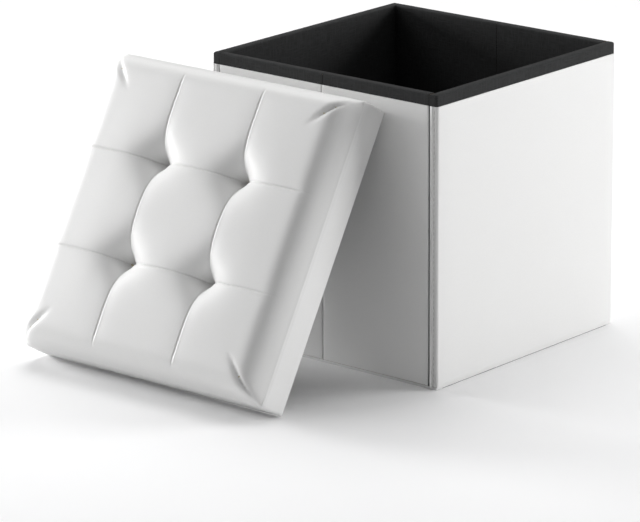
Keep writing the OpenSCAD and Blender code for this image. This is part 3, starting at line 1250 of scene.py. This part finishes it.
class OTTOMAN_OT_hard_parts(bpy.types.Operator):
    """Give the boards, strips, twine and staples their finishes"""

    bl_idname = "ottoman.hard_parts"
    bl_label = "Boards, Strips and Staples"

    def execute(self, context):
        for name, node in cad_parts.items():
            if name.endswith(("_board", "_strip")):
                finish = "board"
            elif name.endswith("_staples"):
                finish = "steel"
            elif name.endswith(("_threads", "_stitches", "_knots", "_knot")):
                finish = "thread"
            elif name.endswith("_foam"):
                finish = "foam"
            elif name.endswith(("_lining", "_tape")):
                finish = "felt"
            else:
                finish = "leather"
            node.data.materials.clear()
            node.data.materials.append(material(finish))
        return {"FINISHED"}


# ---- Stage -------------------------------------------------------------------------


def soft_light(name, place, aim, width, height, power):
    """A large soft area light aimed at a point."""
    leave_edit()
    bpy.ops.object.light_add(type="AREA", location=place)
    light = bpy.context.object
    light.name = name
    light.data.shape = "RECTANGLE"
    light.data.size, light.data.size_y = width, height
    light.data.energy = power
    light.rotation_euler = (Vector(aim) - Vector(place)).to_track_quat("-Z", "Y").to_euler()


class OTTOMAN_OT_stage(bpy.types.Operator):
    """Set the camera, the pale floor and the soft lights"""

    bl_idname = "ottoman.stage"
    bl_label = "Stage"

    def execute(self, context):
        look = settings("stage")
        leave_edit()
        azimuth, height, roll = map(math.radians, (-49.707, 16.367, -0.316))
        back = Vector(
            (math.sin(azimuth) * math.cos(height), -math.cos(azimuth) * math.cos(height), math.sin(height))
        )
        level = Vector((math.cos(azimuth), math.sin(azimuth), 0))
        above = back.cross(level)
        right = math.cos(roll) * level + math.sin(roll) * above
        up = back.cross(right)
        bpy.ops.object.camera_add()
        camera = bpy.context.object
        camera.name = "studio_camera"
        camera.matrix_world = Matrix.Translation((-3.8265, -3.0910, 1.5332)) @ Matrix(
            (right, up, back)
        ).transposed().to_4x4()
        camera.data.lens = 232.5
        camera.data.sensor_width = 36
        camera.data.clip_start, camera.data.clip_end = 0.1, 60
        context.scene.camera = camera

        world = bpy.data.worlds.new("Pale_surround")
        world.use_nodes = True
        sky = world.node_tree.nodes["Background"]
        sky.inputs["Color"].default_value = (1, 1, 1, 1)
        sky.inputs["Strength"].default_value = look.surround
        context.scene.world = world

        soft_light("left_light", (-2.2, 1.9, 1.9), (-0.3, 0.05, 0.15), 2.0, 1.5, look.left_light)
        soft_light("back_light", (-0.9, 2.6, 0.7), (-0.2, 0, 0.1), 1.0, 0.8, look.back_light)
        soft_light("floor_light", (2.4, 2.1, 2.6), (1.9, 1.7, 0), 3.0, 3.0, look.floor_light)
        soft_light("right_light", (2.3, -2.5, 1.0), (0, -0.17, 0.15), 1.8, 1.4, look.right_light)
        soft_light("top_light", (0.8, 0.4, 3.2), (0, 0, 0), 3.0, 3.0, look.top_light)
        soft_light("low_light", (-1.2, -1.6, 0.25), (-0.2, -0.1, 0.05), 0.8, 0.3, look.low_light)
        context.scene.view_settings.view_transform = "Standard"

        leave_edit()
        bpy.ops.mesh.primitive_grid_add(x_subdivisions=24, y_subdivisions=24, size=30)
        floor = named("floor")
        paper, _, shader, _ = new_material("Pale_paper")
        shader.inputs["Base Color"].default_value = (0.98, 0.98, 0.985, 1)
        shader.inputs["Roughness"].default_value = 0.6
        shader.inputs["Specular IOR Level"].default_value = 0.3
        floor.data.materials.append(paper)
        return {"FINISHED"}


# ---- Add-on ------------------------------------------------------------------------

STEPS = (
    OTTOMAN_OT_stage,
    OTTOMAN_OT_hard_parts,
    OTTOMAN_OT_base,
    OTTOMAN_OT_rigid_walls,
    OTTOMAN_OT_folding_sides,
    OTTOMAN_OT_folds,
    OTTOMAN_OT_lid,
    OTTOMAN_OT_knots,
)
GROUPS = {
    "leather": OttomanLeather,
    "felt": OttomanFelt,
    "lid": OttomanLid,
    "stage": OttomanStage,
}


class OTTOMAN_PT_pieces(bpy.types.Panel):
    """Lists the pieces of the ottoman"""

    bl_idname = "OTTOMAN_PT_pieces"
    bl_label = "Folding Storage Ottoman"
    bl_space_type = "VIEW_3D"
    bl_region_type = "UI"
    bl_category = "Ottoman"

    def draw(self, context):
        for name, group in GROUPS.items():
            box = self.layout.box()
            box.label(text=name.title())
            for key in group.__annotations__:
                box.prop(getattr(context.scene, "ottoman_" + name), key)
        for step in STEPS:
            self.layout.operator(step.bl_idname)


def register():
    for group in GROUPS.values():
        bpy.utils.register_class(group)
    for step in STEPS:
        bpy.utils.register_class(step)
    bpy.utils.register_class(OTTOMAN_PT_pieces)
    for name, group in GROUPS.items():
        setattr(bpy.types.Scene, "ottoman_" + name, bpy.props.PointerProperty(type=group))


def unregister():
    for name in GROUPS:
        delattr(bpy.types.Scene, "ottoman_" + name)
    bpy.utils.unregister_class(OTTOMAN_PT_pieces)
    for cls in reversed((*GROUPS.values(), *STEPS)):
        bpy.utils.unregister_class(cls)


def main():
    """Make every piece in order."""
    register()
    bpy.ops.ottoman.stage()
    bpy.ops.ottoman.hard_parts()
    bpy.ops.ottoman.base()
    bpy.ops.ottoman.rigid_walls()
    bpy.ops.ottoman.folding_sides()
    bpy.ops.ottoman.folds()
    bpy.ops.ottoman.lid()
    bpy.ops.ottoman.knots()
    leave_edit()


if __name__ == "__main__":
    main()
